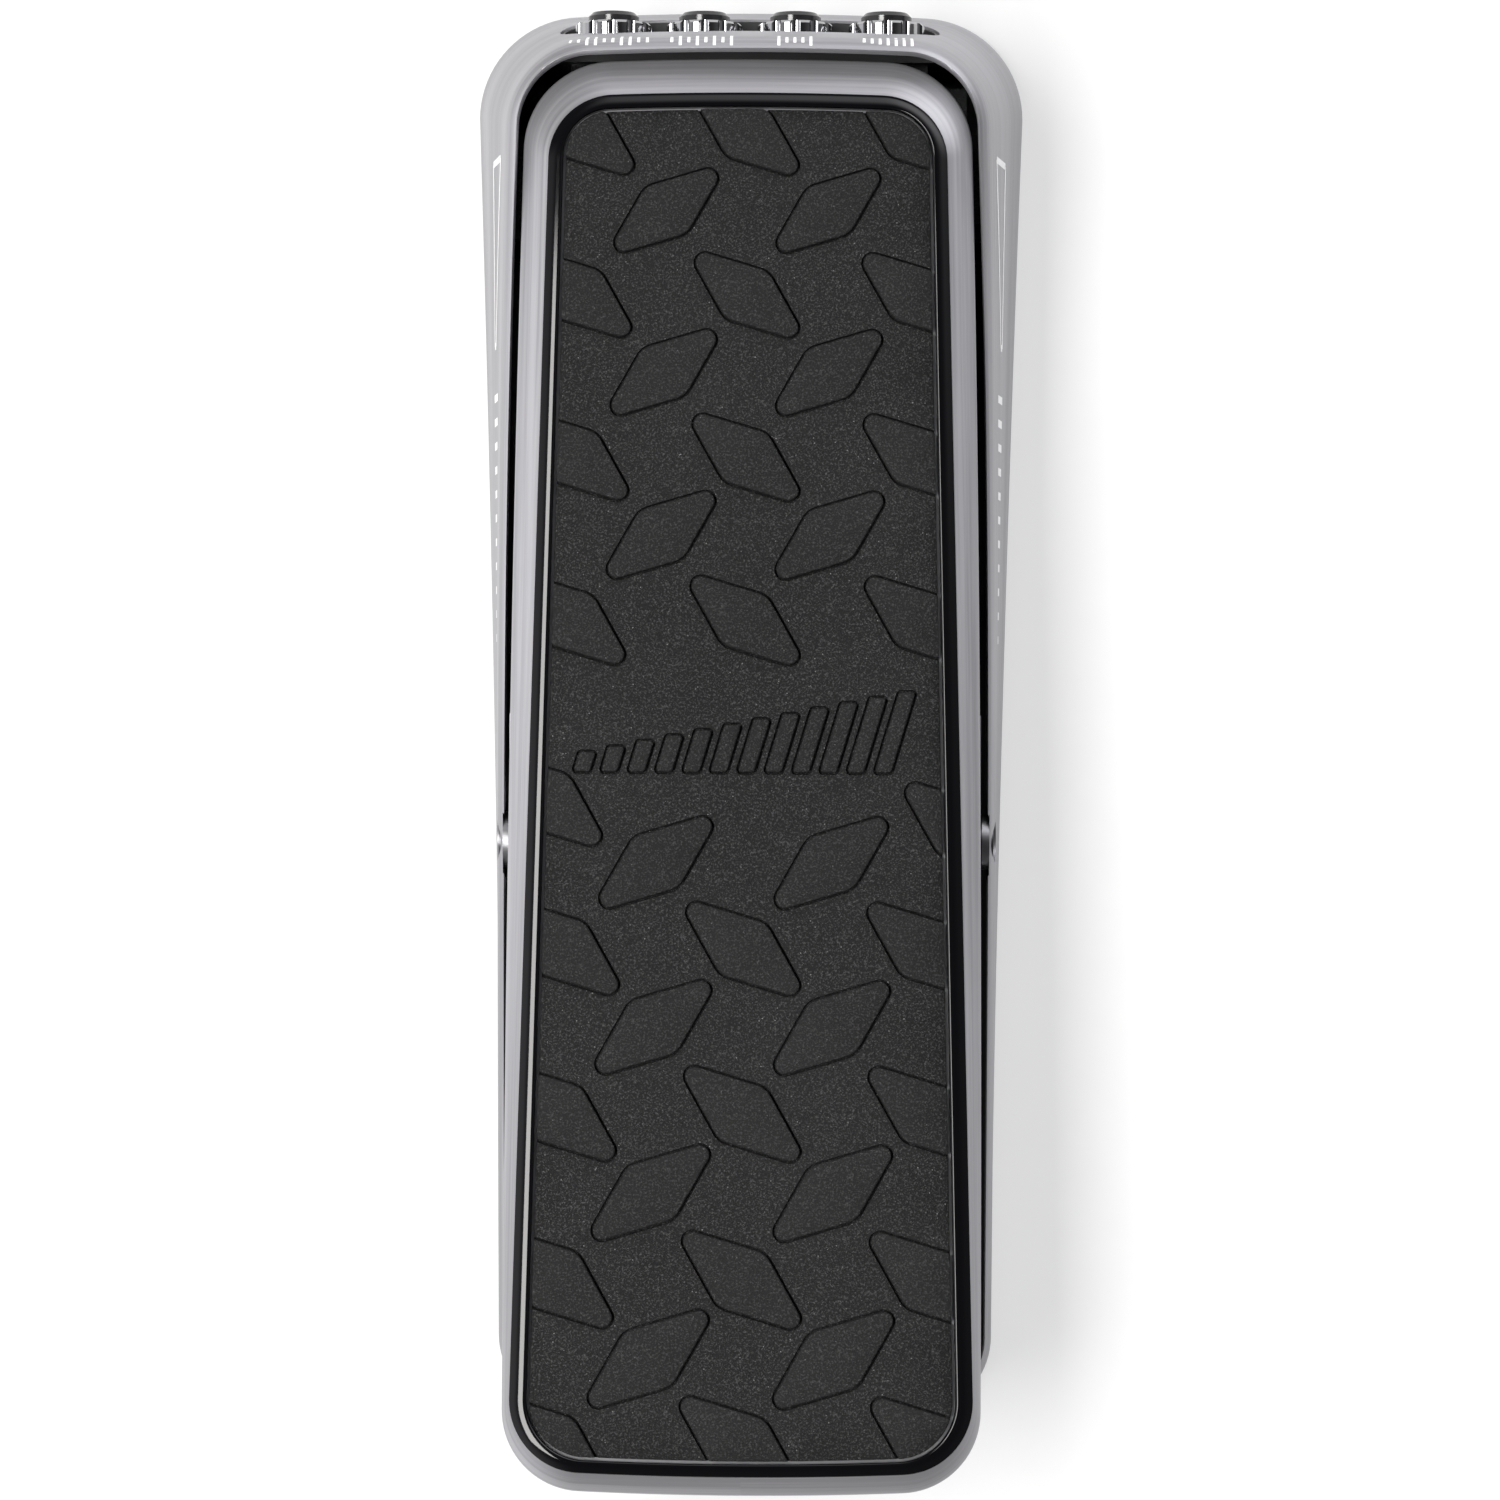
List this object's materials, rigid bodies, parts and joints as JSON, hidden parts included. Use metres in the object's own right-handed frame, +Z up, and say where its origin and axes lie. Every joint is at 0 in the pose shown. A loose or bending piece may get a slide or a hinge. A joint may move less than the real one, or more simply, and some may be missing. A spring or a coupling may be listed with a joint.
{
  "type": "volume pedal",
  "caption": "Rocker volume pedal: cast wedge chassis, rubber-topped rocking treadle, steel-band drive to a potentiometer, and phone jacks in the toe.",
  "frame": {"origin": "on the floor, below the middle of the pedal", "axes": "+Y to the toe end with the jacks, +Z up, +X to the right seen from the heel"},
  "size_m": [0.1068, 0.283, 0.0677],
  "materials": {
    "cast_grey": "brushed, grey anodised",
    "black_steel": "black, satin",
    "black_screw": "black oxide",
    "foot_rubber": "matt",
    "panel_black": "satin black",
    "jack_black": "glossy black",
    "chrome": "polished chrome plate",
    "board_green": "dark green solder mask",
    "component_black": "moulded",
    "brass": "machined",
    "zinc": "zinc plated",
    "wire_red": "insulation",
    "steel": "ground",
    "nylon": "dark nylon",
    "trim_gloss": "high gloss black",
    "tread_rubber": "moulded, fine speckle",
    "arm_black": "glass-filled nylon",
    "band_steel": "spring steel strip"
  },
  "bodies": {
    "base": {"chassis": "cast_grey", "base_plate": "black_steel", "base_screws": "black_screw", "feet": "foot_rubber", "foot_screws": "zinc", "jack_panel": "panel_black", "jack_1": "jack_black", "jack_2": "jack_black", "jack_3": "jack_black", "jack_4": "jack_black", "jack_washers": "chrome", "jack_nuts": "chrome", "circuit_board": "board_green", "board_parts": "component_black", "board_standoffs": "brass", "board_screws": "zinc", "pot_bracket": "zinc", "bracket_screws": "black_screw", "pot_body": "steel", "pot_nut": "chrome", "pot_lugs": "brass", "pot_wires": "wire_red", "pivot_shaft": "steel", "pivot_washers": "zinc", "toe_bumpers": "foot_rubber", "heel_bumpers": "foot_rubber"},
    "treadle": {"treadle": "cast_grey", "treadle_trim": "trim_gloss", "tread_mat": "tread_rubber", "pivot_bushings": "nylon", "drive_arm": "arm_black", "arm_screws": "zinc", "drive_band": "band_steel", "band_clamps": "zinc", "band_screws": "black_screw", "tension_clamp": "nylon"},
    "pot_rotor": {"pot_shaft": "steel", "drive_drum": "brass", "band_loop": "band_steel", "drum_screw": "black_screw"},
    "tension_screw": {"tension_screw": "zinc"}
  },
  "joints": [
    {"name": "treadle_tilt", "type": "hinge", "parent": "base", "child": "treadle", "pos_m": [0, -0.0208, 0.026], "axis": [1, 0, 0], "range_deg": [0, 15]},
    {"name": "pot_turn", "type": "hinge", "parent": "base", "child": "pot_rotor", "pos_m": [0, 0.04844, 0.03206], "axis": [1, 0, 0], "range_deg": [-191.3, 0]},
    {"name": "tension_adjust", "type": "hinge", "parent": "treadle", "child": "tension_screw", "pos_m": [-0.018, -0.035, 0.02], "axis": [0, 0, 1], "range_deg": [-180, 180]}
  ],
  "couplings": [
    {"joint": "pot_turn", "follows": "treadle_tilt", "ratio": -12.723}
  ]
}
